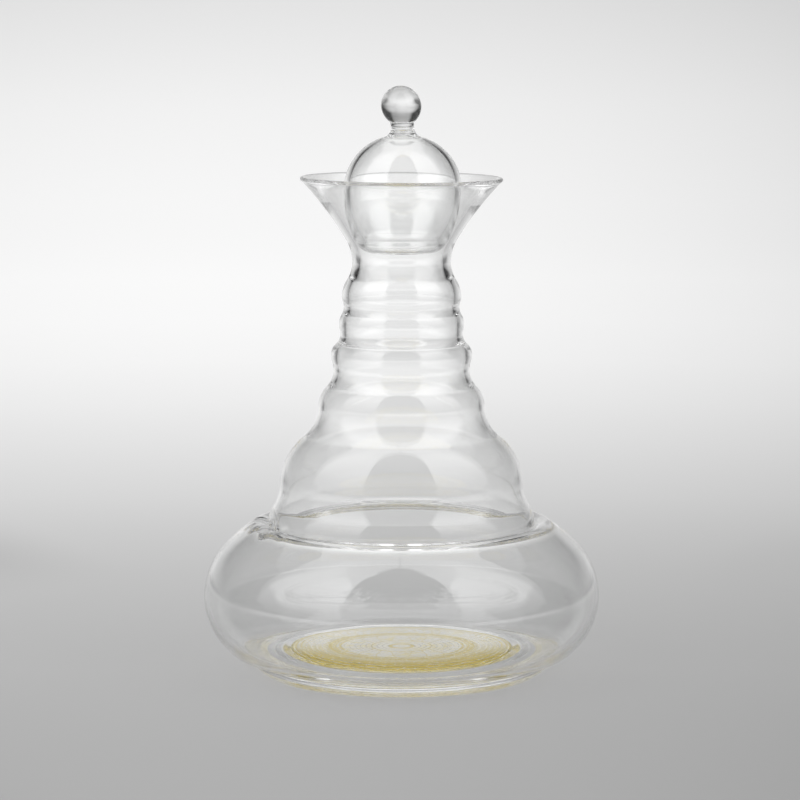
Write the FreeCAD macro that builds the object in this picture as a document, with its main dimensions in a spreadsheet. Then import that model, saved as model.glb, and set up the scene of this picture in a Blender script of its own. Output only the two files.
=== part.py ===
import FreeCAD, Part
import math
import os
import Sketcher

# Glass carafe with a lift-out ball stopper. Millimetres, +Z up, origin on the floor at the carafe's axis.
sizes = {
    # foot and pushed-up base
    "foot_radius": 60.0,
    "foot_ring_width": 2.5,
    "punt_slope_width": 6.0,
    "punt_height": 3.2,
    "base_wall": 7.4,
    # belly
    "belly_radius": 87.9,
    "belly_height": 34.0,
    "belly_wall": 1.8,
    # crease where the shoulder folds down to the cone
    "crease_height": 66.0,
    "crease_half_width": 0.5,
    "crease_lift": 0.3,
    "crease_wall": 2.6,
    # tiers and rings of the cone, radii counted outwards from the throat
    "throat_radius": 21.8,
    "ring_1_swell": 4.6,
    "groove_1_depth": 0.85,
    "ring_2_swell": 2.05,
    "groove_2_depth": 0.4,
    "ring_3_swell": 4.0,
    "groove_3_depth": 1.1,
    "tier_swell": 6.6,
    "skirt_swell": 17.8,
    "flare_swell": 4.5,
    # the same stations, heights counted upwards from the crease
    "flare_rise": 3.5,
    "skirt_rise": 14.0,
    "tier_rise": 35.5,
    "groove_3_rise": 15.9,
    "ring_3_rise": 6.7,
    "groove_2_rise": 8.8,
    "ring_2_rise": 4.9,
    "groove_1_rise": 7.6,
    "ring_1_rise": 4.0,
    "throat_rise": 15.4,
    "cone_wall": 2.5,
    "throat_wall": 3.5,
    # funnel mouth
    "funnel_bend_reach": 2.65,
    "funnel_bend_rise": 9.8,
    "lip_radius": 44.4,
    "lip_rise": 35.9,
    "lip_inset": 1.35,
    "lip_lift": 1.33,
    # seat of the stopper inside the funnel
    "seat_reach": 2.35,
    "seat_rise": 9.3,
    "seat_clearance": 0.34,
    # hollow ball of the stopper
    "ball_swell": 5.74,
    "ball_rise": 22.4,
    "ball_drop": 4.7,
    "ball_foot_inset": 7.91,
    "ball_wall": 2.4,
    "ball_foot_wall": 2.4,
    "ball_shoulder_wall": 1.8,
    "ball_crown_wall": 3.8,
    "collar_radius": 9.6,
    "collar_rise": 23.0,
    "stem_radius": 5.1,
    "stem_rise": 4.8,
    # solid knob fused on the ball
    "knob_neck_swell": 0.2,
    "knob_radius": 8.87,
    "knob_rise": 9.1,
    # gold print under the base
    "print_margin": 2.5,
    "print_thickness": 0.15,
}

# Outline points as (inward, upward) shares of the spans named beside their use.
belly_lower_share = (0.459, 0.738)
foot_roll_share = (0.821, 0.953)
belly_upper_share = (0.324, 0.697)
shoulder_share = (0.7535, 1.04)
inner_floor_share = (0.586, 1.0)
inner_lower_share = (0.49, 0.97)
inner_upper_share = (0.327, 0.714)
inner_shoulder_share = (0.778, 1.085)
inner_roll_share = (0.85, 1.109)
cavity_heel_share = (0.29, 0.85)
# Where each S-shaped stretch changes its bend, as a share of the way from its lower end.
even_share = 0.5
flare_share = 0.4
skirt_share = 0.6
roof_share = 0.5

full_turn = 360.0
# How a sketch numbers its own axes and origin, and the ends and centre of an edge.
level_axis_index = -1
upright_axis_index = -2
origin_index = -1
begin_index = 1
finish_index = 2
centre_index = 3


class Size:
    # A length together with the formula that ties it to the sheet.
    def __init__(self, value, formula):
        self.value = value
        self.formula = formula

    def __add__(self, other):
        return Size(self.value + other.value, f"({self.formula} + {other.formula})")

    def __sub__(self, other):
        return Size(self.value - other.value, f"({self.formula} - {other.formula})")

    def share(self, share):
        return Size(self.value * share, f"({self.formula} * {share})")


def named(name):
    return Size(sizes[name], f"Sizes.{name}")


def between(first, second, share):
    nothing = first[0].share(0)
    pairs = [(a or nothing, b or nothing) for a, b in zip(first, second)]
    return tuple(a + (b - a).share(share) for a, b in pairs)


def span_point(outer_radius, inner_radius, low, high, shares):
    inward, upward = shares
    return (outer_radius - (outer_radius - inner_radius).share(inward), low + (high - low).share(upward))


def write_sheet(doc):
    sheet = doc.addObject("Spreadsheet::Sheet", "Sizes")
    for row, (name, value) in enumerate(sizes.items(), start=1):
        sheet.set(f"A{row}", name)
        sheet.set(f"B{row}", str(value))
        sheet.setAlias(f"B{row}", name)
    doc.recompute()
    return sheet


def origin_plane(body, role):
    return next(plane for plane in body.Origin.OriginFeatures if plane.Role == role)


def make_body(doc, name, plane_role):
    body = doc.addObject("PartDesign::Body", name)
    body.Label = name
    sketch = body.newObject("Sketcher::SketchObject", f"{name}_section")
    sketch.AttachmentSupport = (origin_plane(body, plane_role), [""])
    sketch.MapMode = "FlatFace"
    return body, sketch


def make_turned(doc, name, section):
    body, sketch = make_body(doc, name, "XZ_Plane")
    section.write(sketch)
    turned = body.newObject("PartDesign::Revolution", f"{name}_turned")
    turned.Profile = sketch
    turned.ReferenceAxis = (sketch, ["V_Axis"])
    turned.Angle = full_turn
    body.Tip = turned
    return body


def circle_through(fixed, direction, other):
    # Centre of the circle that passes both points and runs along the direction at the fixed one.
    normal = FreeCAD.Vector(-direction.y, direction.x, 0).normalize()
    chord = other - fixed
    return fixed + normal * (chord.dot(chord) / (2 * chord.dot(normal)))


class Section:
    # The edges, constraints and formulas of one sketch, gathered first and handed over together.
    def __init__(self):
        self.edges = []
        self.constraints = []
        self.formulas = {}

    def draw(self, edge):
        self.edges.append(edge)
        return len(self.edges) - 1

    def constrain(self, kind, *arguments):
        self.constraints.append(Sketcher.Constraint(kind, *arguments))
        return len(self.constraints) - 1

    def bind(self, size, kind, *arguments):
        self.formulas[self.constrain(kind, *arguments, size.value)] = size.formula

    def axis_line(self, low, high):
        # Straight piece of the turning axis between two corners that lie on it already.
        line = self.draw(Part.LineSegment(low.place, high.place))
        for end, corner in zip((begin_index, finish_index), (low, high)):
            self.constrain("Coincident", line, end, corner.edge, corner.end)

    def write(self, sketch):
        sketch.addGeometry(self.edges, False)
        sketch.addConstraint(self.constraints)
        for index, formula in self.formulas.items():
            sketch.setExpression(f"Constraints[{index}]", formula)


class Corner:
    # One end of an edge, and where it lies.
    def __init__(self, edge, end, place):
        self.edge = edge
        self.end = end
        self.place = place


class Outline:
    # A chain of lines and arcs in a section, every end point bound to the sheet.
    def __init__(self, section, start):
        self.section = section
        self.start = start
        self.point = start
        self.first = None
        self.last = None
        self.heading = None

    def bind_point(self, edge, end, point):
        # None stands for the sketch's own axis.
        axes = (upright_axis_index, level_axis_index)
        for kind, axis, size in zip(("DistanceX", "DistanceY"), axes, point):
            if size is None:
                self.section.constrain("PointOnObject", edge, end, axis)
            else:
                self.section.bind(size, kind, origin_index, begin_index, edge, end)

    def at(self, point):
        return FreeCAD.Vector(*(0 if size is None else size.value for size in point), 0)

    def join(self, edge, end, smooth):
        if self.last is None:
            self.bind_point(edge, end, self.start)
            self.first = Corner(edge, end, self.at(self.start))
        else:
            kind = "Tangent" if smooth else "Coincident"
            self.section.constrain(kind, self.last.edge, self.last.end, edge, end)

    def line(self, point):
        begin = self.at(self.point)
        finish = self.at(point)
        edge = self.section.draw(Part.LineSegment(begin, finish))
        self.join(edge, begin_index, False)
        self.bind_point(edge, finish_index, point)
        self.last = Corner(edge, finish_index, finish)
        self.point = point
        self.heading = finish - begin

    def draw_arc(self, centre, begin, finish):
        angles = [math.atan2(place.y - centre.y, place.x - centre.x) for place in (begin, finish)]
        turn = (angles[1] - angles[0] + math.pi) % (2 * math.pi) - math.pi
        circle = Part.Circle(centre, FreeCAD.Vector(0, 0, 1), (begin - centre).Length)
        leftward = turn > 0
        arc = Part.ArcOfCircle(circle, *(angles if leftward else reversed(angles)))
        edge = self.section.draw(arc)
        spoke = finish - centre
        self.heading = FreeCAD.Vector(-spoke.y, spoke.x, 0) * (1 if leftward else -1)
        ends = (begin_index, finish_index)
        return (edge, *ends) if leftward else (edge, *reversed(ends))

    def arc(self, point, rule):
        # The rule names the end where the arc runs upright or level, or says that it leaves smoothly.
        begin = self.at(self.point)
        finish = self.at(point)
        upright = FreeCAD.Vector(0, 1, 0)
        level = FreeCAD.Vector(1, 0, 0)
        cases = {
            "smooth": (begin, self.heading, finish),
            "upright start": (begin, upright, finish),
            "upright end": (finish, upright, begin),
            "level start": (begin, level, finish),
            "level end": (finish, level, begin),
        }
        centre = circle_through(*cases[rule])
        edge, first_end, last_end = self.draw_arc(centre, begin, finish)
        self.join(edge, first_end, rule == "smooth")
        self.bind_point(edge, last_end, point)
        if rule != "smooth":
            end = first_end if rule.endswith("start") else last_end
            row = "Horizontal" if rule.startswith("upright") else "Vertical"
            self.section.constrain(row, edge, centre_index, edge, end)
        self.last = Corner(edge, last_end, finish)
        self.point = point

    def wave(self, point, direction, share):
        # Two arcs that run along the same direction at both ends and swap their bend in between.
        middle = between(self.point, point, share)
        self.arc(middle, f"{direction} start")
        self.arc(point, f"{direction} end")

    def close_to(self, corner):
        # A last smooth arc, up to a corner that another chain has bound already.
        begin = self.at(self.point)
        centre = circle_through(begin, self.heading, corner.place)
        edge, first_end, last_end = self.draw_arc(centre, begin, corner.place)
        self.section.constrain("Tangent", self.last.edge, self.last.end, edge, first_end)
        self.section.constrain("Coincident", edge, last_end, corner.edge, corner.end)


def foot_points():
    # Radius of the foot, of the inner edge of its ring and of the flat of the pushed-up base.
    foot = named("foot_radius")
    ring = foot - named("foot_ring_width")
    return foot, ring, ring - named("punt_slope_width")


def neck_stations():
    # Radius and height of each place where the cone's wall stands upright, from the flare to the throat.
    throat = named("throat_radius")
    steps = [
        (+1, "ring_1_swell", "throat_rise"),
        (-1, "groove_1_depth", "ring_1_rise"),
        (+1, "ring_2_swell", "groove_1_rise"),
        (-1, "groove_2_depth", "ring_2_rise"),
        (+1, "ring_3_swell", "groove_2_rise"),
        (-1, "groove_3_depth", "ring_3_rise"),
        (+1, "tier_swell", "groove_3_rise"),
        (+1, "skirt_swell", "tier_rise"),
        (+1, "flare_swell", "skirt_rise"),
    ]
    radii = [throat]
    for sign, name, _ in steps:
        radii.append(radii[-1] + named(name) if sign > 0 else radii[-1] - named(name))
    radii.reverse()
    heights = [named("crease_height") + named("flare_rise")]
    for _, _, name in reversed(steps):
        heights.append(heights[-1] + named(name))
    return list(zip(radii, heights))


def crease_point():
    return neck_stations()[0][0] + named("crease_half_width"), named("crease_height")


def lip_points():
    throat_height = neck_stations()[-1][1]
    outer = (named("lip_radius"), throat_height + named("lip_rise"))
    inner = (outer[0] - named("lip_inset"), outer[1] + named("lip_lift"))
    return outer, inner


def seat_point():
    throat_radius, throat_height = neck_stations()[-1]
    bore = throat_radius - named("throat_wall")
    return bore + named("seat_reach"), throat_height + named("seat_rise")


def climb_neck(outline, stations):
    shares = [flare_share, skirt_share] + [even_share] * (len(stations) - 3)
    for station, share in zip(stations[1:], shares):
        outline.wave(station, "upright", share)


def draw_outside(section):
    floor = named("punt_height").share(0)
    foot, ring, punt = foot_points()
    belly = (named("belly_radius"), named("belly_height"))
    crease = crease_point()
    half = named("crease_half_width")
    lifted = crease[1] + named("crease_lift")
    stations = neck_stations()
    outline = Outline(section, (None, named("punt_height")))
    outline.line((punt, named("punt_height")))
    outline.wave((ring, None), "level", even_share)
    outline.line((foot, None))
    outline.arc(span_point(belly[0], foot, belly[1], floor, foot_roll_share), "level start")
    outline.line(span_point(belly[0], foot, belly[1], floor, belly_lower_share))
    outline.arc(belly, "upright end")
    outline.arc(span_point(belly[0], crease[0], belly[1], crease[1], belly_upper_share), "upright start")
    outline.arc(span_point(belly[0], crease[0], belly[1], crease[1], shoulder_share), "smooth")
    outline.arc((crease[0] + half, lifted), "smooth")
    outline.arc(crease, "level end")
    outline.arc((stations[0][0], lifted), "level start")
    outline.line(stations[0])
    climb_neck(outline, stations)
    bend = (stations[-1][0] + named("funnel_bend_reach"), stations[-1][1] + named("funnel_bend_rise"))
    outline.arc(bend, "upright start")
    outline.arc(lip_points()[0], "smooth")
    return outline


def draw_inside(section):
    cone_wall = named("cone_wall")
    floor = named("punt_height") + named("base_wall")
    foot = foot_points()[0]
    belly = (named("belly_radius") - named("belly_wall"), named("belly_height"))
    crease_radius, crease_height = crease_point()
    ridge = (crease_radius, crease_height - named("crease_wall"))
    stations = neck_stations()
    hollow = [(radius - cone_wall, height) for radius, height in stations[:-1]]
    hollow.append((stations[-1][0] - named("throat_wall"), stations[-1][1]))
    turn = ridge[0] - hollow[0][0]
    outline = Outline(section, (None, floor))
    outline.line(span_point(belly[0], foot, belly[1], floor, inner_floor_share))
    outline.arc(span_point(belly[0], foot, belly[1], floor, inner_lower_share), "level start")
    outline.arc(belly, "upright end")
    outline.arc(span_point(belly[0], ridge[0], belly[1], ridge[1], inner_upper_share), "upright start")
    outline.arc(span_point(belly[0], ridge[0], belly[1], ridge[1], inner_shoulder_share), "smooth")
    outline.arc(span_point(belly[0], ridge[0], belly[1], ridge[1], inner_roll_share), "level end")
    outline.wave(ridge, "level", roof_share)
    outline.arc((hollow[0][0], ridge[1] + turn), "level start")
    outline.line(hollow[0])
    climb_neck(outline, hollow)
    outline.arc(seat_point(), "upright start")
    outline.arc(lip_points()[1], "smooth")
    return outline


def make_carafe(doc):
    section = Section()
    outside = draw_outside(section)
    inside = draw_inside(section)
    outside.close_to(inside.last)
    section.axis_line(outside.first, inside.first)
    return make_turned(doc, "carafe_body", section)


def stopper_heights():
    seat = seat_point()[1]
    return {
        "foot": seat - named("ball_drop"),
        "seat": seat,
        "belly": seat + named("ball_rise"),
        "collar": seat + named("ball_rise") + named("collar_rise"),
        "stem": seat + named("ball_rise") + named("collar_rise") + named("stem_rise"),
    }


def make_ball(doc):
    section = Section()
    heights = stopper_heights()
    contact = seat_point()[0] - named("seat_clearance")
    radius = contact + named("ball_swell")
    foot = contact - named("ball_foot_inset")
    outside = Outline(section, (None, heights["foot"]))
    outside.line((foot, heights["foot"]))
    outside.arc((contact, heights["seat"]), "level start")
    outside.arc((radius, heights["belly"]), "upright end")
    outside.arc((named("collar_radius"), heights["collar"]), "upright start")
    outside.arc((named("stem_radius"), heights["stem"]), "upright end")
    outside.line((None, heights["stem"]))
    cavity_floor = heights["foot"] + named("ball_foot_wall")
    cavity_radius = radius - named("ball_wall")
    cavity_top = heights["collar"] + named("stem_rise") - named("ball_crown_wall")
    axis = cavity_radius.share(0)
    heel = span_point(cavity_radius, axis, heights["belly"], cavity_floor, cavity_heel_share)
    inside = Outline(section, (None, cavity_floor))
    inside.line((foot, cavity_floor))
    inside.arc(heel, "level start")
    inside.arc((cavity_radius, heights["belly"]), "upright end")
    inside.arc((named("collar_radius"), heights["collar"] - named("ball_shoulder_wall")), "upright start")
    inside.arc((None, cavity_top), "level end")
    section.axis_line(outside.first, inside.first)
    section.axis_line(inside.last, outside.last)
    return make_turned(doc, "stopper_bulb", section)


def make_knob(doc):
    section = Section()
    stem = stopper_heights()["stem"]
    neck = named("stem_radius") + named("knob_neck_swell")
    radius = named("knob_radius")
    centre_height = stem + named("knob_rise")
    outline = Outline(section, (None, stem))
    outline.line((named("stem_radius"), stem))
    drop = math.sqrt(radius.value ** 2 - neck.value ** 2)
    begin = outline.at(outline.point)
    meeting = FreeCAD.Vector(neck.value, centre_height.value - drop, 0)
    flank_centre = circle_through(begin, FreeCAD.Vector(0, 1, 0), meeting)
    flank, low_end, high_end = outline.draw_arc(flank_centre, begin, meeting)
    outline.join(flank, low_end, False)
    section.constrain("Horizontal", flank, centre_index, flank, low_end)
    section.bind(neck, "DistanceX", origin_index, begin_index, flank, high_end)
    circle = Part.Circle(FreeCAD.Vector(0, centre_height.value, 0), FreeCAD.Vector(0, 0, 1), radius.value)
    ball = section.draw(Part.ArcOfCircle(circle, math.atan2(-drop, neck.value), math.pi / 2))
    section.constrain("Coincident", flank, high_end, ball, begin_index)
    section.constrain("PointOnObject", ball, centre_index, upright_axis_index)
    section.bind(centre_height, "DistanceY", origin_index, begin_index, ball, centre_index)
    section.bind(radius, "Radius", ball)
    section.constrain("PointOnObject", ball, finish_index, upright_axis_index)
    top = FreeCAD.Vector(0, centre_height.value + radius.value, 0)
    section.axis_line(outline.first, Corner(ball, finish_index, top))
    return make_turned(doc, "stopper_knob", section)


def make_print(doc):
    body, sketch = make_body(doc, "base_emblem", "XY_Plane")
    lift = named("punt_height") - named("print_thickness")
    sketch.setExpression("AttachmentOffset.Base.z", lift.formula)
    radius = foot_points()[-1] - named("print_margin")
    section = Section()
    edge = section.draw(Part.Circle(FreeCAD.Vector(0, 0, 0), FreeCAD.Vector(0, 0, 1), radius.value))
    section.constrain("Coincident", edge, centre_index, origin_index, begin_index)
    section.bind(radius, "Radius", edge)
    section.write(sketch)
    pad = body.newObject("PartDesign::Pad", "base_emblem_layer")
    pad.Profile = sketch
    pad.setExpression("Length", named("print_thickness").formula)
    body.Tip = pad
    return body


def check(doc, bodies):
    for item in doc.Objects:
        bad = [state for state in item.State if state in ("Invalid", "Error")]
        if bad:
            raise RuntimeError(f"{item.Name} is {bad}")
    for body in bodies:
        if body.Shape.isNull() or not body.Shape.isValid():
            raise RuntimeError(f"{body.Label} has no valid shape")


def main():
    doc = FreeCAD.newDocument("carafe")
    write_sheet(doc)
    bodies = [make_carafe(doc), make_ball(doc), make_knob(doc), make_print(doc)]
    for body in bodies:
        body.Placement = FreeCAD.Placement()
    doc.recompute()
    check(doc, bodies)
    os.makedirs("parts", exist_ok=True)
    for body in bodies:
        body.Shape.exportStep(f"parts/{body.Label}.step")
        print(body.Label, "volume", round(body.Shape.Volume, 1), "solids", len(body.Shape.Solids))


main()
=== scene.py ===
import math
import bpy
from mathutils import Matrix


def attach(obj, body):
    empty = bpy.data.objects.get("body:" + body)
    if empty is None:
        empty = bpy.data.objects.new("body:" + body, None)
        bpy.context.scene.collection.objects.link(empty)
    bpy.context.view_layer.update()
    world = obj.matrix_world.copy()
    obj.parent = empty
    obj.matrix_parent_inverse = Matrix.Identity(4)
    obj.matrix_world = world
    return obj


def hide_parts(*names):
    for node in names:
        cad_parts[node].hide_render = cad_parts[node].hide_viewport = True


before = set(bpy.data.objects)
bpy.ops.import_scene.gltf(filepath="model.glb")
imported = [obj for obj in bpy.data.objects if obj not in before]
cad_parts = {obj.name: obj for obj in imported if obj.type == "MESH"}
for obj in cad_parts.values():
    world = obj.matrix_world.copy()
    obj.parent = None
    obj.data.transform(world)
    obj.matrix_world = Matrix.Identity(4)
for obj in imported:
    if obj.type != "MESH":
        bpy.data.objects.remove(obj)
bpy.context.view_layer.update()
mm = 0.001
print("frame loaded:", ", ".join(sorted(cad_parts)))


# outlines are runs of (radius, height) in mm, turned round the upright axis
def arcPoints(start, finish, heading, atFinish=False, degreesPerStep=4.0):
    # the circle through both points that runs along heading at start, or at finish
    length = math.hypot(*heading)
    along = (heading[0] / length, heading[1] / length)
    fixed, other = (finish, start) if atFinish else (start, finish)
    normal = (-along[1], along[0])
    chord = (other[0] - fixed[0], other[1] - fixed[1])
    across = chord[0] * normal[0] + chord[1] * normal[1]
    if abs(across) < 1e-9:
        return [start, finish]
    radius = (chord[0] ** 2 + chord[1] ** 2) / (2 * across)
    centre = (fixed[0] + normal[0] * radius, fixed[1] + normal[1] * radius)
    first = math.atan2(start[1] - centre[1], start[0] - centre[0])
    last = math.atan2(finish[1] - centre[1], finish[0] - centre[0])
    turn = (last - first + math.pi) % (2 * math.pi) - math.pi
    steps = max(4, math.ceil(abs(math.degrees(turn)) / degreesPerStep))
    size = abs(radius)
    angles = [first + turn * i / steps for i in range(steps + 1)]
    return [(centre[0] + size * math.cos(a), centre[1] + size * math.sin(a)) for a in angles]


def onwards(points):
    # direction in which a run of points ends, exact enough for the next smooth arc
    a, b, c = points[-3:]
    return tuple(2 * (c[i] - b[i]) - (b[i] - a[i]) / 2 - (c[i] - b[i]) / 2 for i in (0, 1))


def arcOn(run, finish, degreesPerStep=4.0):
    # the run with one more arc that goes on smoothly from its end
    return joinRuns(run, arcPoints(run[-1], finish, onwards(run), False, degreesPerStep))


def wavePoints(start, finish, share, level=False):
    # S-shaped stretch, upright (or level) at both ends
    heading = (1, 0) if level else (0, 1)
    middle = tuple(start[i] + (finish[i] - start[i]) * share for i in (0, 1))
    return arcPoints(start, middle, heading) + arcPoints(middle, finish, heading, True)[1:]


def spanPoint(start, finish, shares):
    # the point that lies the given shares of the way in radius and in height
    return tuple(start[i] + (finish[i] - start[i]) * shares[i] for i in (0, 1))


def joinRuns(*runs):
    points = []
    for run in runs:
        points += run if not points else run[1:]
    return points


def linkedPiece(name, verts, faces):
    mesh = bpy.data.meshes.new(name)
    mesh.from_pydata(verts, [], faces)
    piece = bpy.data.objects.new(name, mesh)
    bpy.context.scene.collection.objects.link(piece)
    return piece


def turnPiece(name, outlines, segments, bend=None):
    # one mesh from closed outlines that start and end on the axis; neighbouring rings share corners
    verts, faces = [], []
    for outline in outlines:
        rings = []
        for radius, height in outline:
            if radius < 1e-6:
                rings.append([len(verts)])
                verts.append((0.0, 0.0, height))
                continue
            rings.append(list(range(len(verts), len(verts) + segments)))
            for step in range(segments):
                angle = 2 * math.pi * step / segments
                verts.append((radius * math.cos(angle), radius * math.sin(angle), height))
        for low, high in zip(rings, rings[1:]):
            for step in range(segments):
                nextStep = (step + 1) % segments
                if len(low) == 1:
                    faces.append((low[0], high[nextStep], high[step]))
                elif len(high) == 1:
                    faces.append((low[step], low[nextStep], high[0]))
                else:
                    faces.append((low[step], low[nextStep], high[nextStep], high[step]))
    if bend:
        verts = [bend(*v) for v in verts]
    piece = linkedPiece(name, [(x * mm, y * mm, z * mm) for x, y, z in verts], faces)
    piece.data.shade_smooth()
    return piece


def easeStep(value, low, high):
    t = min(1.0, max(0.0, (value - low) / (high - low)))
    return t * t * (3 - 2 * t)


def plateau(value, rise, fall):
    return easeStep(value, *rise) * (1 - easeStep(value, *fall))


# the carafe: one blown wall from foot ring to lip, all in mm and degrees
carafe = {
    "segments": 256,
    "foot": 60.0, "footRingWidth": 2.5, "puntSlopeWidth": 6.0, "puntHeight": 3.2,
    "footEdge": (62.2, 1.0), "footRoll": (66.5, 6.0), "footRollSlope": 0.35,
    "belly": (87.9, 34.0), "bellyLower": (0.459, 0.738), "bellyUpper": (0.324, 0.697),
    "shoulder": (0.7535, 1.01),
    "crease": (59.5, 66.0), "creaseHalfWidth": 0.5, "creaseLift": 0.1,
    "neck": [(59.0, 67.0), (54.0, 83.5), (36.7, 119.0), (30.1, 134.9), (31.2, 141.6),
             (27.2, 150.4), (27.6, 155.3), (25.55, 162.9), (26.4, 166.9), (21.8, 182.3)],
    "waves": [0.4, 0.6, 0.5, 0.5, 0.5, 0.5, 0.5, 0.5, 0.5],
    "funnelBend": (24.45, 192.1), "lipOuter": (44.4, 218.2), "lipInner": (43.05, 219.53),
    "seat": (20.65, 191.6),
    "baseWall": 7.0, "bellyWall": 1.8, "creaseWall": 2.0,
    "coneWall": 2.0, "ringWall": 3.1, "throatWall": 3.5,
    "floorDip": 2.6, "dipFrom": 47.0, "dipTo": 62.0,
    "innerLower": (0.49, 0.97), "innerUpper": (0.327, 0.714),
    "innerShoulder": (0.72, 1.01), "innerRoll": (0.84, 1.03),
    "fineStep": 3.0, "rimStep": 1.5, "tightStep": 12.0, "ridgeStep": 8.0,
    "oval": 0.35, "ovalTurn": 0.6, "ovalFull": 50.0, "ovalRise": (30, 60), "ovalFall": (90, 150),
    "rimTilt": 0.0075, "tiltRise": (188, 219),
    "dentTowards": 198, "dentSpread": (14, 34), "dentWaves": ((0.5, 17, 0.6), (0.35, 29, 2.0)),
    "dentPull": 0.8, "dentHeights": ((58, 64), (67, 71)), "dentRadii": ((54, 58), (66, 74)),
}


def carafeSkin(c):
    # the outside, from the middle of the base up to the lip
    foot, belly, crease, neck = c["foot"], c["belly"], c["crease"], c["neck"]
    ring = foot - c["footRingWidth"]
    punt = ring - c["puntSlopeWidth"]
    bellyLower = spanPoint(belly, (foot, 0.0), c["bellyLower"])
    footRoll = arcPoints(c["footEdge"], c["footRoll"], (1, c["footRollSlope"]))
    skin = joinRuns([(0.0, c["puntHeight"]), (punt, c["puntHeight"])],
                    wavePoints((punt, c["puntHeight"]), (ring, 0.0), 0.5, True),
                    [(ring, 0.0), (foot, 0.0)],
                    arcPoints((foot, 0.0), c["footEdge"], (1, 0)),
                    footRoll, [c["footRoll"], bellyLower],
                    arcPoints(bellyLower, belly, (0, 1), True, c["fineStep"]))
    creaseTop = crease[1] + c["creaseLift"]
    bellyUpper = spanPoint(belly, crease, c["bellyUpper"])
    skin = joinRuns(skin, arcPoints(belly, bellyUpper, (0, 1), False, c["fineStep"]))
    skin = arcOn(skin, spanPoint(belly, crease, c["shoulder"]))
    skin = arcOn(skin, (crease[0] + c["creaseHalfWidth"], creaseTop))
    skin = joinRuns(skin, arcPoints(skin[-1], crease, (1, 0), True, c["tightStep"]),
                    arcPoints(crease, (neck[0][0], creaseTop), (1, 0), False, c["tightStep"]))
    skin = joinRuns(skin, [skin[-1], neck[0]])
    for low, high, share in zip(neck, neck[1:], c["waves"]):
        skin = joinRuns(skin, wavePoints(low, high, share))
    skin = joinRuns(skin, arcPoints(neck[-1], c["funnelBend"], (0, 1)))
    skin = arcOn(skin, c["lipOuter"], c["rimStep"])
    return arcOn(skin, c["lipInner"], c["tightStep"])


def carafeHollow(c):
    # the inside, from the middle of the floor up to the lip
    floor = c["puntHeight"] + c["baseWall"]
    belly = (c["belly"][0] - c["bellyWall"], c["belly"][1])
    ridge = (c["crease"][0], c["crease"][1] - c["creaseWall"])
    neck = c["neck"]
    thicker = (c["ringWall"] - c["coneWall"]) / (len(neck) - 2)
    hollow = [(radius - c["coneWall"] - thicker * i, height)
              for i, (radius, height) in enumerate(neck[:-1])]
    hollow.append((neck[-1][0] - c["throatWall"], neck[-1][1]))
    # the inner floor dips over the foot ring, as the push-up leaves it
    dipStart, dipEnd = (c["dipFrom"], floor), (c["dipTo"], floor - c["floorDip"])
    innerLower = spanPoint(belly, (c["foot"], floor), c["innerLower"])
    innerUpper = spanPoint(belly, ridge, c["innerUpper"])
    innerRoll = spanPoint(belly, ridge, c["innerRoll"])
    inside = joinRuns([(0.0, floor), dipStart], wavePoints(dipStart, dipEnd, 0.5, True),
                      arcPoints(dipEnd, innerLower, (1, 0)),
                      arcPoints(innerLower, belly, (0, 1), True, c["fineStep"]),
                      arcPoints(belly, innerUpper, (0, 1), False, c["fineStep"]))
    inside = arcOn(inside, spanPoint(belly, ridge, c["innerShoulder"]))
    ridgeTop = (hollow[0][0], ridge[1] + ridge[0] - hollow[0][0])
    inside = joinRuns(inside, arcPoints(inside[-1], innerRoll, (1, 0), True),
                      wavePoints(innerRoll, ridge, 0.5, True),
                      arcPoints(ridge, ridgeTop, (1, 0), False, c["ridgeStep"]))
    inside = joinRuns(inside, [inside[-1], hollow[0]])
    for low, high, share in zip(hollow, hollow[1:], c["waves"]):
        inside = joinRuns(inside, wavePoints(low, high, share))
    inside = joinRuns(inside, arcPoints(inside[-1], c["seat"], (0, 1)))
    return arcOn(inside, c["lipInner"], c["rimStep"])


def carafeBend(x, y, z):
    # hand-blown: the rim dips a little to the right, the shoulder is slightly oval
    angle = math.atan2(y, x)
    radius = math.hypot(x, y)
    oval = carafe["oval"] * plateau(z, carafe["ovalRise"], carafe["ovalFall"])
    oval *= math.cos(2 * (angle - carafe["ovalTurn"])) * min(1.0, radius / carafe["ovalFull"])
    # the fold was pressed unevenly at the front left
    fromLeft = abs((math.degrees(angle) + 360) % 360 - carafe["dentTowards"])
    pressed = plateau(z, *carafe["dentHeights"]) * plateau(radius, *carafe["dentRadii"])
    pressed *= 1 - easeStep(fromLeft, *carafe["dentSpread"])
    dent = pressed * sum(size * math.sin(count * angle + phase)
                         for size, count, phase in carafe["dentWaves"])
    grown = radius + oval - carafe["dentPull"] * dent
    scale = grown / radius if radius > 1e-6 else 1.0
    tilt = carafe["rimTilt"] * x * easeStep(z, *carafe["tiltRise"])
    return x * scale, y * scale, z + dent - tilt


carafeOutline = joinRuns(carafeSkin(carafe), carafeHollow(carafe)[::-1])
carafePiece = turnPiece("carafeGlass", [carafeOutline], carafe["segments"], carafeBend)
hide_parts("carafe_body")
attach(carafePiece, "carafe")
print("carafe turned:", len(carafePiece.data.vertices), "corners")


# the stopper: sealed hollow ball with a solid knob fused on, in mm
bulb = {
    "segments": 192, "fineStep": 3.0,
    "foot": (12.4, 186.9), "contact": (20.31, 191.6), "belly": (26.05, 214.0),
    "collar": (9.6, 237.0), "stem": (5.1, 241.8),
    "wall": 2.4, "footWall": 2.4, "shoulderWall": 1.8, "crownWall": 3.8, "cavityHeel": (0.29, 0.85),
    "leanRight": 0.6, "leanRise": (192, 222),
}
knob = {
    "segments": 160, "steps": 44, "seam": 0.012,
    "stem": 5.1, "neck": 5.3, "radius": 8.87, "centre": 250.9,
    "leanLeft": 0.9, "leanRise": (236, 256),
}


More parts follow.
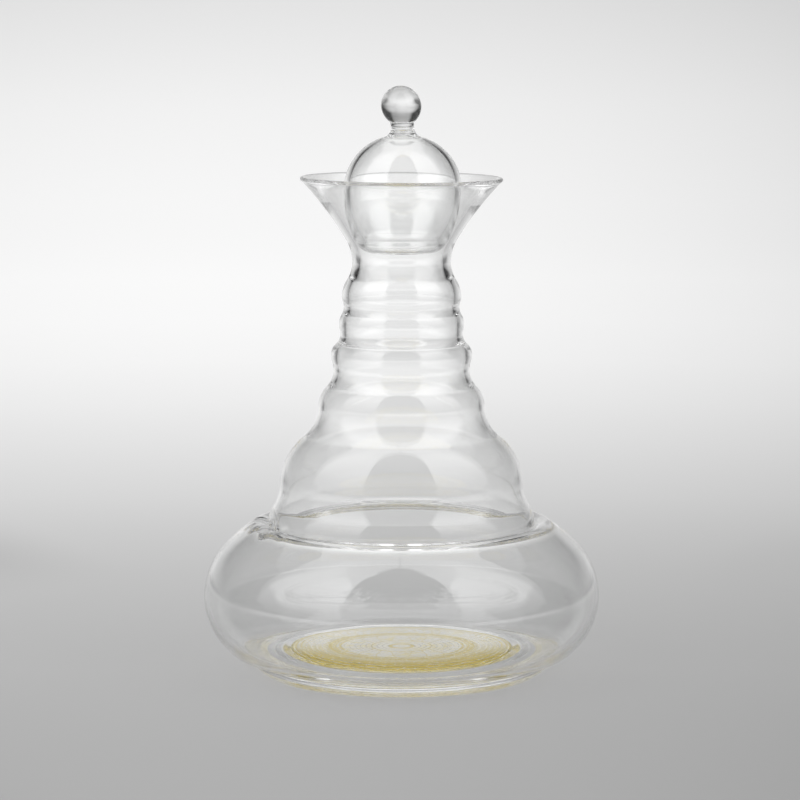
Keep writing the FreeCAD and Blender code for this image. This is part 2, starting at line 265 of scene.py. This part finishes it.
def stopperBend(x, y, z):
    # the ball leans a little to the right of its seat, the knob sits back to the left
    right = bulb["leanRight"] * easeStep(z, *bulb["leanRise"])
    left = knob["leanLeft"] * easeStep(z, *knob["leanRise"])
    return x + (right - left), y, z


def bulbSkin(b):
    return joinRuns([(0.0, b["foot"][1]), b["foot"]],
                    arcPoints(b["foot"], b["contact"], (1, 0)),
                    arcPoints(b["contact"], b["belly"], (0, 1), True, b["fineStep"]),
                    arcPoints(b["belly"], b["collar"], (0, 1), False, b["fineStep"]),
                    arcPoints(b["collar"], b["stem"], (0, 1), True),
                    [b["stem"], (0.0, b["stem"][1])])


def bulbCavity(b):
    floor = b["foot"][1] + b["footWall"]
    belly = (b["belly"][0] - b["wall"], b["belly"][1])
    collar = (b["collar"][0], b["collar"][1] - b["shoulderWall"])
    crown = (0.0, b["stem"][1] - b["crownWall"])
    heel = spanPoint(belly, (0.0, floor), b["cavityHeel"])
    return joinRuns([(0.0, floor), (b["foot"][0], floor)],
                    arcPoints((b["foot"][0], floor), heel, (1, 0)),
                    arcPoints(heel, belly, (0, 1), True, b["fineStep"]),
                    arcPoints(belly, collar, (0, 1), False, b["fineStep"]),
                    arcPoints(collar, crown, (1, 0), True))


def knobSkin(k, foot):
    size, centre = k["radius"], k["centre"]
    meeting = (k["neck"], centre - math.sqrt(size ** 2 - k["neck"] ** 2))
    first = math.atan2(meeting[1] - centre, k["neck"])
    angles = [first + (math.pi / 2 - first) * i / k["steps"] for i in range(k["steps"])]
    ball = [(size * math.cos(a), centre + size * math.sin(a)) for a in angles]
    return joinRuns([(0.0, foot), (k["stem"], foot)],
                    arcPoints((k["stem"], foot), meeting, (0, 1)), ball + [(0.0, centre + size)])


bulbOutlines = [bulbSkin(bulb), bulbCavity(bulb)[::-1]]
bulbPiece = turnPiece("stopperBall", bulbOutlines, bulb["segments"], stopperBend)
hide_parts("stopper_bulb")
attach(bulbPiece, "stopper")

knobOutline = knobSkin(knob, bulb["stem"][1] + knob["seam"])
knobPiece = turnPiece("stopperKnob", [knobOutline], knob["segments"], stopperBend)
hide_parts("stopper_knob")
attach(knobPiece, "stopper")
print("stopper turned")


# the gold print under the base, in mm
emblem = {
    "segments": 192, "rings": 40, "radius": 49.0, "low": 3.05, "high": 3.215, "relief": 0.02,
    "paleGold": (0.84, 0.74, 0.30, 1), "deepGold": (0.72, 0.58, 0.06, 1),
    # the glint colour is a painted highlight: near-white flecks mixed into the print's colour
    "milk": (0.88, 0.87, 0.83, 1), "paintedGlint": (1.0, 0.99, 0.94, 1),
    "ringLines": ((47.9, 0.7), (45.2, 0.35), (31.4, 1.5), (27.6, 0.4), (13.4, 0.3), (5.0, 0.6)),
    "braid": {"count": 21.0, "phases": (0.0, 2.094, 4.189), "swing": 5.2, "middle": 38.2, "half": 0.28},
    "petals": {"count": 9.0, "phases": (0.0, 3.1416), "swing": 7.0, "middle": 21.4, "half": 0.3},
    # the front limits bound the painted shade: deep gold painted on the front side of the outer band
    "lineShare": 0.85, "bandFrom": 31.0, "bandTo": 39.0, "frontShadeFrom": 5.0, "frontShadeTo": -22.0,
    "cloudScale": 160.0, "speckle": (0.5, 0.72), "foilAndGlintScale": 620.0, "paintedGlintFlecks": (0.62, 0.66),
    "metal": (0.3, 0.7), "rough": (0.55, 0.38), "bumpDistance": 0.00015,
}


def emblemSkin(e):
    # fine circular ridges on the upper face, which is fused to the glass
    crest = [(e["radius"] * (1 - i / e["rings"]), e["high"] - e["relief"] * (i % 2))
             for i in range(e["rings"])]
    rim = [(e["radius"], e["low"]), (e["radius"], e["high"] - e["relief"])]
    return [(0.0, e["low"])] + rim + crest + [(0.0, e["high"])]


emblemPiece = turnPiece("baseEmblem", [emblemSkin(emblem)], emblem["segments"])
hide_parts("base_emblem")
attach(emblemPiece, "carafe")
print("print laid")


# helpers for the materials; a value is a plain number or colour, or the socket that gives it
def newMaterial(name):
    material = bpy.data.materials.new(name)
    material.use_nodes = True
    material.node_tree.nodes.clear()
    return material, material.node_tree


def put(tree, kind, x, y, **settings):
    node = tree.nodes.new(kind)
    node.location = (x, y)
    for key, value in settings.items():
        setattr(node, key, value)
    return node


def feed(tree, value, socket):
    if isinstance(value, (int, float, tuple)):
        socket.default_value = value
    else:
        tree.links.new(value, socket)


def sums(tree, operation, first, second=None, x=0, y=0, third=None):
    node = put(tree, "ShaderNodeMath", x, y, operation=operation)
    for value, socket in zip((first, second, third), node.inputs):
        if value is not None:
            feed(tree, value, socket)
    return node.outputs[0]


def remap(tree, value, source, x, y, target=(0.0, 1.0), **settings):
    # a Map Range node from the two ends of source to those of target
    node = put(tree, "ShaderNodeMapRange", x, y, **settings)
    feed(tree, value, node.inputs["Value"])
    for name, end in zip(("From Min", "From Max", "To Min", "To Max"), tuple(source) + tuple(target)):
        feed(tree, end, node.inputs[name])
    return node.outputs[0]


def mixed(tree, share, first, second, x, y, **settings):
    node = put(tree, "ShaderNodeMix", x, y, **settings)
    for name, value in (("Factor", share), ("A", first), ("B", second)):
        feed(tree, value, node.inputs[name])
    return node.outputs["Result"]


def noiseOf(tree, vector, x, y, **settings):
    node = put(tree, "ShaderNodeTexNoise", x, y)
    feed(tree, vector, node.inputs["Vector"])
    for name, value in settings.items():
        feed(tree, value, node.inputs[name])
    return node.outputs["Fac"]


def newGroup(name, inputs, output):
    group = bpy.data.node_groups.new(name, "ShaderNodeTree")
    for label, value in inputs:
        socket = group.interface.new_socket(label, in_out="INPUT", socket_type="NodeSocketFloat")
        socket.default_value = value
    group.interface.new_socket(output, in_out="OUTPUT", socket_type="NodeSocketFloat")
    groupIn = put(group, "NodeGroupInput", -800, 0)
    groupOut = put(group, "NodeGroupOutput", 500, 0)
    place = put(group, "ShaderNodeTexCoord", -800, -200)
    return group, groupIn, groupOut, place


ripple = {"waveSize": 40.0, "chillSize": 220.0, "chillShare": 0.01, "squash": (1, 1, 2.2)}
haze = {"patchSize": 18.0, "clean": 0.0, "hazy": 0.02, "patches": (0.56, 0.78)}


def rippleGroup():
    # slow waves of the blown wall with a finer chill mark on top
    sizes = (("Wave Size", ripple["waveSize"]), ("Chill Size", ripple["chillSize"]),
             ("Chill Share", ripple["chillShare"]))
    group, groupIn, groupOut, place = newGroup("blownRipple", sizes, "Height")
    flatten = put(group, "ShaderNodeMapping", -600, -200)
    flatten.inputs["Scale"].default_value = ripple["squash"]
    feed(group, place.outputs["Object"], flatten.inputs["Vector"])
    vector = flatten.outputs[0]
    waves = noiseOf(group, vector, -300, 100, Detail=1.0, Scale=groupIn.outputs["Wave Size"])
    chill = noiseOf(group, vector, -300, -200, Detail=2.0, Scale=groupIn.outputs["Chill Size"])
    fine = sums(group, "MULTIPLY", chill, groupIn.outputs["Chill Share"], 0, -100)
    feed(group, sums(group, "ADD", waves, fine, 200, 0), groupOut.inputs["Height"])
    return group


def hazeGroup():
    # faint wiped haze: almost nothing, in slow patches
    sizes = (("Patch Size", haze["patchSize"]), ("Clean", haze["clean"]), ("Hazy", haze["hazy"]))
    group, groupIn, groupOut, place = newGroup("wipedHaze", sizes, "Roughness")
    patches = noiseOf(group, place.outputs["Object"], -300, 0, Detail=3.0,
                      Scale=groupIn.outputs["Patch Size"])
    spread = remap(group, patches, haze["patches"], 0, 0,
                   (groupIn.outputs["Clean"], groupIn.outputs["Hazy"]))
    feed(group, spread, groupOut.inputs["Roughness"])
    return group


blownRipple = rippleGroup()
wipedHaze = hazeGroup()

bodyLook = {
    "tint": (0.998, 1.0, 0.999, 1), "waveSize": 26.0, "chillSize": 120.0, "depth": 0.00006,
    "hazy": 0.004, "wornBelow": 0.0004, "wornRoughness": 0.22,
}
stopperLook = {
    "tint": (0.998, 1.0, 0.999, 1), "waveSize": 45.0, "chillSize": 160.0, "depth": 0.00004,
    "hazy": 0.01,
}


def glassMaterial(name, look):
    material, tree = newMaterial(name)
    out = put(tree, "ShaderNodeOutputMaterial", 900, 0)
    glass = put(tree, "ShaderNodeBsdfPrincipled", 600, 0)
    glass.inputs["Base Color"].default_value = look["tint"]
    glass.inputs["Metallic"].default_value = 0.0
    glass.inputs["Transmission Weight"].default_value = 1.0
    glass.inputs["IOR"].default_value = 1.5
    waved = put(tree, "ShaderNodeGroup", 0, -300, node_tree=blownRipple)
    waved.inputs["Wave Size"].default_value = look["waveSize"]
    waved.inputs["Chill Size"].default_value = look["chillSize"]
    bump = put(tree, "ShaderNodeBump", 300, -300)
    bump.inputs["Strength"].default_value = 1.0
    bump.inputs["Distance"].default_value = look["depth"]
    feed(tree, waved.outputs["Height"], bump.inputs["Height"])
    feed(tree, bump.outputs["Normal"], glass.inputs["Normal"])
    wiped = put(tree, "ShaderNodeGroup", 0, 100, node_tree=wipedHaze)
    wiped.inputs["Hazy"].default_value = look["hazy"]
    rough = wiped.outputs["Roughness"]
    if "wornBelow" in look:
        # the foot ring is scuffed where it slides on the table
        place = put(tree, "ShaderNodeTexCoord", -600, 400)
        height = put(tree, "ShaderNodeSeparateXYZ", -400, 400)
        feed(tree, place.outputs["Object"], height.inputs[0])
        worn = remap(tree, height.outputs["Z"], (look["wornBelow"], 0.0), -200, 400,
                     (0.0, look["wornRoughness"]))
        rough = sums(tree, "MAXIMUM", rough, worn, 300, 200)
    feed(tree, rough, glass.inputs["Roughness"])
    feed(tree, glass.outputs[0], out.inputs["Surface"])
    return material


carafePiece.data.materials.append(glassMaterial("clearBlownGlass", bodyLook))
bulbPiece.data.materials.append(glassMaterial("thinBallGlass", stopperLook))
knobPiece.data.materials.append(glassMaterial("solidKnobGlass", stopperLook))


def goldPrintMaterial(e):
    # rings, a braided band and a fine rosette, laid in pale and deep gold on a milky ground
    material, tree = newMaterial("firedGoldPrint")
    out = put(tree, "ShaderNodeOutputMaterial", 2200, 0)
    gold = put(tree, "ShaderNodeBsdfPrincipled", 1900, 0)
    place = put(tree, "ShaderNodeTexCoord", -1200, 0)
    split = put(tree, "ShaderNodeSeparateXYZ", -1000, 0)
    feed(tree, place.outputs["Object"], split.inputs[0])
    x = sums(tree, "MULTIPLY", split.outputs["X"], 1 / mm, -800, 100)
    y = sums(tree, "MULTIPLY", split.outputs["Y"], 1 / mm, -800, -100)
    squares = sums(tree, "ADD", sums(tree, "MULTIPLY", x, x, -600, 100),
                   sums(tree, "MULTIPLY", y, y, -600, -100), -400, 0)
    radius = sums(tree, "SQRT", squares, None, -200, 0)
    angle = sums(tree, "ARCTAN2", y, x, -600, -300)

    def lineMask(middle, half, row):
        # 1 on the line, fading out over its own half width
        away = sums(tree, "ABSOLUTE", sums(tree, "SUBTRACT", radius, middle, 450, row), None, 600, row)
        return remap(tree, away, (half, half * 2), 750, row, (1.0, 0.0))

    masks = [lineMask(middle, half, 150 * i) for i, (middle, half) in enumerate(e["ringLines"])]
    for wave in (e["braid"], e["petals"]):
        for phase in wave["phases"]:
            row = -400 - 150 * len(masks)
            turned = sums(tree, "MULTIPLY_ADD", angle, wave["count"], 0, row, phase)
            swing = sums(tree, "SINE", turned, None, 150, row)
            middle = sums(tree, "MULTIPLY_ADD", swing, wave["swing"], 300, row, wave["middle"])
            masks.append(lineMask(middle, wave["half"], row))
    lines = masks[0]
    for index, mask in enumerate(masks[1:]):
        lines = sums(tree, "MAXIMUM", lines, mask, 950, 200 - 60 * index)

    # painted shade: the outer band of the print is painted deep gold on the side that faces the front,
    # fading towards the back; the printed lines are deep gold all round
    band = remap(tree, radius, (e["bandFrom"], e["bandTo"]), 900, -500)
    front = remap(tree, y, (e["frontShadeFrom"], e["frontShadeTo"]), 900, -800)
    frontShade = sums(tree, "MULTIPLY", band, front, 1100, -600)
    drawn = sums(tree, "MULTIPLY", lines, e["lineShare"], 1300, -200)
    goldAndFrontShade = sums(tree, "MAXIMUM", drawn, frontShade, 1450, -200)
    cloud = noiseOf(tree, place.outputs["Object"], 600, 500,
                    Scale=e["cloudScale"], Detail=5.0, Roughness=0.7)
    speckle = remap(tree, cloud, e["speckle"], 900, 500)
    # painted highlight: small near-white flecks mixed into the colour stand in for glints on the pressed
    # foil, whose noise also gives the foil its bump
    foilAndGlintNoise = noiseOf(tree, place.outputs["Object"], 600, 800, Scale=e["foilAndGlintScale"], Detail=2.0)
    paintedGlintFlecks = remap(tree, foilAndGlintNoise, e["paintedGlintFlecks"], 900, 800)
    ground = mixed(tree, speckle, e["milk"], e["paleGold"], 1200, 300, data_type="RGBA")
    colour = mixed(tree, goldAndFrontShade, ground, e["deepGold"], 1600, 100, data_type="RGBA")
    paintedGlints = mixed(tree, paintedGlintFlecks, colour, e["paintedGlint"], 1750, 300, data_type="RGBA")
    feed(tree, paintedGlints, gold.inputs["Base Color"])
    feed(tree, remap(tree, goldAndFrontShade, (0.0, 1.0), 1600, -200, e["metal"]), gold.inputs["Metallic"])
    feed(tree, remap(tree, speckle, (0.0, 1.0), 1600, -450, e["rough"]), gold.inputs["Roughness"])
    bump = put(tree, "ShaderNodeBump", 1600, -700)
    bump.inputs["Strength"].default_value = 0.5
    bump.inputs["Distance"].default_value = e["bumpDistance"]
    pressed = sums(tree, "MULTIPLY_ADD", foilAndGlintNoise, 0.8, 1300, -800, goldAndFrontShade)
    feed(tree, sums(tree, "MULTIPLY_ADD", cloud, 0.6, 1400, -700, pressed), bump.inputs["Height"])
    feed(tree, bump.outputs["Normal"], gold.inputs["Normal"])
    feed(tree, gold.outputs[0], out.inputs["Surface"])
    return material


emblemPiece.data.materials.append(goldPrintMaterial(emblem))
print("materials made")


# studio sweep in metres: greys by distance from the object, shares by height and by direction; painted
# light falloff, the floor darker near the object and the wall darker towards the top
sweep = {
    "segments": 128, "flatTo": 3.1, "bend": 1.2, "top": 4.2, "reach": 4.0,
    "flatSteps": 40, "bendSteps": 24, "wallSteps": 10,
    "greys": [(0.0, 185), (0.12, 187), (0.2, 191), (0.28, 195), (0.41, 203), (0.57, 214),
              (0.75, 225), (0.97, 236), (1.23, 245), (1.55, 251), (2.0, 255), (2.5, 255), (4.0, 255)],
    "byHeight": [(0.0, 1.0), (0.12, 0.95), (0.3, 0.82), (0.7, 0.80), (1.05, 0.65), (1.3, 0.5),
                 (1.9, 0.42), (2.4, 0.45), (4.2, 0.6)],
    "flank": [(0.0, 0.45), (0.25, 0.46), (0.41, 0.5), (0.55, 0.6), (0.8, 0.32), (0.95, 0.22),
              (1.7, 0.2), (3.2, 0.12), (4.0, 0.08)],
    "front": [(0.0, 0.45), (0.24, 0.42), (0.34, 0.4), (0.46, 0.95), (0.56, 1.35), (0.95, 1.45),
              (1.3, 1.2), (1.7, 0.95), (2.4, 0.5), (4.0, 0.2)],
    "camera": [(0.0, 0.45), (0.24, 0.42), (0.34, 0.38), (1.0, 0.36), (1.15, 1.2), (1.7, 1.7),
               (2.4, 1.6), (4.0, 0.2)],
    "toFront": (68, 108), "toCamera": (143, 148),
    "edgeReach": (0.5, 1.8), "edgeAngles": (27, 15),
    "fadeReach": (1.0, 2.5), "fadeAngles": (14, 48),
    "narrowHeights": (0.35, 1.3), "narrowTo": 0.3, "farOut": (0.25, 0.4),
    "nearReach": (-0.5, 0.5), "nearShares": (0.85, 1.05), "beforeReach": (-0.3, 0.0), "beforeShare": 0.86,
    "rightFall": 0.52, "edgeFall": 5.0, "slantLimit": 0.15, "slantFrom": 1.45, "slantNearest": 0.6,
    "glow": 0.65, "seenGlow": 0.12, "shadeShare": 0.25,
}


def grey(level):
    value = level / 255
    linear = value / 12.92 if value <= 0.04045 else ((value + 0.055) / 1.055) ** 2.4
    return (linear, linear, linear, 1)


def evenly(share):
    return (share, share, share, 1)


def rampOf(tree, value, stops, reach, x, y):
    # a colour ramp whose stops are (distance, colour) over a reach
    node = put(tree, "ShaderNodeValToRGB", x, y)
    feed(tree, sums(tree, "DIVIDE", value, reach, x - 200, y), node.inputs[0])
    marks = node.color_ramp.elements
    marks[0].position, marks[0].color = 0.0, stops[0][1]
    marks[1].position, marks[1].color = 1.0, stops[-1][1]
    for distance, colour in stops[1:-1]:
        marks.new(distance / reach).color = colour
    return node.outputs["Color"]


def degreesIn(ends):
    return tuple(math.radians(end) for end in ends)


def sweepMaterial(s):
    material, tree = newMaterial("paleSweep")
    out = put(tree, "ShaderNodeOutputMaterial", 1400, 0)
    spot = put(tree, "ShaderNodeNewGeometry", -1200, 0)
    split = put(tree, "ShaderNodeSeparateXYZ", -1000, 0)
    feed(tree, spot.outputs["Position"], split.inputs[0])
    px, py, pz = split.outputs["X"], split.outputs["Y"], split.outputs["Z"]
    squares = sums(tree, "ADD", sums(tree, "MULTIPLY", px, px, -800, 200),
                   sums(tree, "MULTIPLY", py, py, -800, 0), -600, 100)
    away = sums(tree, "SQRT", squares, None, -400, 100)
    greys = [(distance, grey(level)) for distance, level in s["greys"]]
    shares = [(height, evenly(share)) for height, share in s["byHeight"]]
    # painted light falloff: the grey darkens towards the object and towards the top of the wall
    ramp = rampOf(tree, away, greys, s["reach"], 0, 300)
    rise = rampOf(tree, pz, shares, shares[-1][0], 0, 0)
    colour = mixed(tree, 1.0, ramp, rise, 400, 200, data_type="RGBA", blend_type="MULTIPLY")

    # painted shade: a little darker towards the front near the object, and from left to right
    near = remap(tree, py, s["nearReach"], -200, -300, s["nearShares"])
    before = remap(tree, py, s["beforeReach"], -200, -100, (s["beforeShare"], 1.0))
    close = sums(tree, "MULTIPLY", near, before, 300, -300)
    depth = sums(tree, "MAXIMUM", sums(tree, "ADD", py, s["slantFrom"], -400, -900),
                 s["slantNearest"], -250, -900)
    slant = sums(tree, "MAXIMUM", sums(tree, "DIVIDE", px, depth, -100, -900), -s["slantLimit"], 50, -900)
    slant = sums(tree, "MINIMUM", slant, s["slantLimit"], 200, -900)
    slantSquare = sums(tree, "MULTIPLY", slant, slant, 350, -1000)
    edges = sums(tree, "MULTIPLY", slantSquare, -s["edgeFall"], 500, -1000)
    across = sums(tree, "MULTIPLY_ADD", slant, -s["rightFall"], 800, -900,
                  sums(tree, "ADD", edges, 1.0, 650, -1000))
    level = sums(tree, "MULTIPLY", close, across, 600, -400)
    shaded = mixed(tree, 1.0, colour, level, 700, 100, data_type="RGBA", blend_type="MULTIPLY")

    # beyond the part that the camera sees, painted light and shade for the glass to show: darker flanks,
    # a bright floor in front of the object, and darker floor towards the camera out to about a metre
    turned = sums(tree, "ARCTAN2", px, py, -500, -500)
    turned = sums(tree, "ABSOLUTE", turned, None, -350, -500)      # 0 behind, pi in front
    sectors = []
    for row, name in enumerate(("flank", "front", "camera")):
        # a ramp holds no colour over 1, so it carries half the share
        halves = [(distance, evenly(share / 2)) for distance, share in s[name]]
        side = rampOf(tree, away, halves, s["reach"], 0, -500 - 250 * row)
        sectors.append(sums(tree, "MULTIPLY", side, 2.0, 250, -500 - 250 * row))
    smooth = {"interpolation_type": "SMOOTHSTEP"}
    toFront = remap(tree, turned, degreesIn(s["toFront"]), 0, -1300, **smooth)
    toCamera = remap(tree, turned, degreesIn(s["toCamera"]), 450, -1100, **smooth)
    unseen = mixed(tree, toFront, sectors[0], sectors[1], 450, -650)
    ahead = mixed(tree, toCamera, unseen, sectors[2], 600, -900)
    edgeAt = remap(tree, away, s["edgeReach"], -200, -1100, degreesIn(s["edgeAngles"]))
    fade = remap(tree, away, s["fadeReach"], -200, -1400, degreesIn(s["fadeAngles"]))
    narrow = remap(tree, pz, s["narrowHeights"], -200, -1600, (1.0, s["narrowTo"]))
    fading = sums(tree, "MULTIPLY", fade, narrow, 0, -1500)
    beyond = sums(tree, "DIVIDE", sums(tree, "SUBTRACT", turned, edgeAt, 0, -1300), fading, 150, -1300)
    aside = remap(tree, beyond, (0.0, 1.0), 300, -1300, **smooth)
    farOut = remap(tree, away, s["farOut"], 300, -1500, **smooth)
    outOfView = sums(tree, "MULTIPLY", aside, farOut, 450, -1300)
    high = sums(tree, "MULTIPLY", ahead, rise, 600, -650)
    allRound = mixed(tree, outOfView, shaded, high, 850, 0, data_type="RGBA")

    # most of the tone is the sweep's own glow, the rest takes the shadow of the object
    glow = put(tree, "ShaderNodeEmission", 1000, 100)
    feed(tree, allRound, glow.inputs["Color"])
    path = put(tree, "ShaderNodeLightPath", 400, 600)
    seen = sums(tree, "MAXIMUM", path.outputs["Is Camera Ray"], path.outputs["Is Glossy Ray"], 600, 600)
    seen = sums(tree, "MAXIMUM", seen, path.outputs["Is Transmission Ray"], 750, 600)
    strength = sums(tree, "MULTIPLY_ADD", seen, s["seenGlow"], 900, 400, s["glow"])
    feed(tree, strength, glow.inputs["Strength"])
    dim = mixed(tree, 1.0, allRound, evenly(s["shadeShare"]), 850, -100,
                data_type="RGBA", blend_type="MULTIPLY")
    matt = put(tree, "ShaderNodeBsdfDiffuse", 1000, -100)
    feed(tree, dim, matt.inputs["Color"])
    both = put(tree, "ShaderNodeAddShader", 1200, 0)
    feed(tree, glow.outputs[0], both.inputs[0])
    feed(tree, matt.outputs[0], both.inputs[1])
    feed(tree, both.outputs[0], out.inputs["Surface"])
    return material


def sweepOutline(s):
    flat = [(s["flatTo"] * i / s["flatSteps"], 0.0) for i in range(s["flatSteps"] + 1)]
    turns = [math.pi / 2 * i / s["bendSteps"] for i in range(1, s["bendSteps"] + 1)]
    bend = [(s["flatTo"] + s["bend"] * math.sin(a), s["bend"] * (1 - math.cos(a))) for a in turns]
    wall = [(s["flatTo"] + s["bend"], s["bend"] + (s["top"] - s["bend"]) * i / s["wallSteps"])
            for i in range(1, s["wallSteps"] + 1)]
    return [(radius / mm, height / mm) for radius, height in flat + bend + wall]


sweepPiece = turnPiece("studioSweep", [sweepOutline(sweep)], sweep["segments"])
sweepPiece.data.flip_normals()
sweepPiece.data.materials.append(sweepMaterial(sweep))

# one big curved soft light, in metres and degrees; stops are (height over the table, strength)
panel = {
    "distance": 2.3, "centreHeight": 0.1, "firstLift": 1, "top": 136.0, "sideTop": 102.0,
    "topEdge": (14, 28), "lean": 84.0, "step": 1.0,
    "gap": 34.0, "gapEdge": 0.8, "gapStraightTo": 20.0, "gapTop": 83.0, "gapRound": 0.5,
    "overhead": (88, 98),
    "strengths": [(0, 0.36), (5, 0.48), (11, 0.68), (18, 0.9), (27, 1.4), (37, 1.8), (47, 2.1),
                  (57, 2.3), (68, 2.3), (80, 1.9), (90, 1.7)],
    "backStrengths": [(22, 0.45), (37, 0.65), (47, 0.95), (57, 1.4), (68, 1.4), (90, 1.7)],
    "gapStrengths": [(0, 0.04), (45, 0.04), (56, 0.3), (90, 0.4)],
}


def readOff(stops, value):
    for (x0, y0), (x1, y1) in zip(stops, stops[1:]):
        if value <= x1:
            return y0 + (y1 - y0) * max(0.0, (value - x0) / (x1 - x0))
    return stops[-1][1]


def blend(first, second, share):
    return first * (1 - share) + second * share


def panelStrength(lift, lean):
    # cloth brightness: by height over the table, weak in the gap where the camera stands
    height = math.degrees(math.asin(math.cos(math.radians(lean)) * math.sin(math.radians(lift))))
    above = max(0.0, lift - panel["gapStraightTo"]) / (panel["gapTop"] - panel["gapStraightTo"])
    gap = panel["gap"] * max(0.0, 1 - above) ** panel["gapRound"]
    inGap = 1 - easeStep(abs(lean), gap - panel["gapEdge"], gap + panel["gapEdge"])
    cloth = blend(readOff(panel["strengths"], height), readOff(panel["gapStrengths"], height), inGap)
    behind = easeStep(lift, *panel["overhead"])
    return blend(cloth, readOff(panel["backStrengths"], height), behind)


def panelPiece(p):
    # lift counts up from the front of the table, lean to the side
    rows, columns = int(p["top"] / p["step"]), int(2 * p["lean"] / p["step"])
    verts, faces, strengths = [], [], []
    for i in range(rows + 1):
        for j in range(columns + 1):
            lean = -p["lean"] + 2 * p["lean"] * j / columns
            reach = p["top"] - (p["top"] - p["sideTop"]) * easeStep(abs(lean), *p["topEdge"])
            lift = p["firstLift"] + (reach - p["firstLift"]) * i / rows
            a, b = math.radians(lean), math.radians(lift)
            verts.append((p["distance"] * math.sin(a), -p["distance"] * math.cos(a) * math.cos(b),
                          p["centreHeight"] + p["distance"] * math.cos(a) * math.sin(b)))
            strengths.append(panelStrength(lift, lean))
    for i in range(rows):
        for j in range(columns):
            a = i * (columns + 1) + j
            faces.append((a, a + 1, a + columns + 2, a + columns + 1))
    piece = linkedPiece("softPanel", verts, faces)
    shine = piece.data.attributes.new("shine", "FLOAT", "POINT")
    shine.data.foreach_set("value", strengths)
    return piece


def panelMaterial():
    material, tree = newMaterial("panelCloth")
    out = put(tree, "ShaderNodeOutputMaterial", 600, 0)
    glow = put(tree, "ShaderNodeEmission", 400, 0)
    level = put(tree, "ShaderNodeAttribute", 0, 0, attribute_name="shine")
    feed(tree, level.outputs["Fac"], glow.inputs["Strength"])
    feed(tree, glow.outputs[0], out.inputs["Surface"])
    return material


softPanel = panelPiece(panel)
softPanel.data.materials.append(panelMaterial())
softPanel.visible_camera = False

air = {"grey": (0.5, 0.5, 0.5, 1), "strength": 0.8}
world = bpy.data.worlds.new("studioAir")
bpy.context.scene.world = world
world.use_nodes = True
world.node_tree.nodes["Background"].inputs["Color"].default_value = air["grey"]
world.node_tree.nodes["Background"].inputs["Strength"].default_value = air["strength"]
print("studio lit")


# the camera, in metres, degrees and millimetres of lens
view = {
    "pitchDown": 7.15, "back": 1.45, "height": 0.303, "lens": 148.5, "sensor": 36, "farthest": 100,
    "shift": -1.5 / 800, "deepBounces": 128, "plainBounces": 8,
}
cameraData = bpy.data.cameras.new("frontCamera")
camera = bpy.data.objects.new("frontCamera", cameraData)
bpy.context.scene.collection.objects.link(camera)
camera.location = (0, -view["back"], view["height"])
camera.rotation_euler = (math.radians(90 - view["pitchDown"]), 0, 0)
cameraData.sensor_width = view["sensor"]
cameraData.lens = view["lens"]
cameraData.shift_x = view["shift"]
cameraData.clip_end = view["farthest"]
bpy.context.scene.camera = camera
bpy.context.scene.view_settings.view_transform = "Standard"

# light runs far inside the thin walls, and the print is lit by light that the glass turns back
cycles = bpy.context.scene.cycles
cycles.max_bounces = view["deepBounces"]
cycles.transmission_bounces = view["deepBounces"]
cycles.glossy_bounces = view["deepBounces"]
cycles.diffuse_bounces = view["plainBounces"]
cycles.transparent_max_bounces = view["plainBounces"]
cycles.caustics_refractive = True
cycles.caustics_reflective = True
cycles.blur_glossy = 0.0
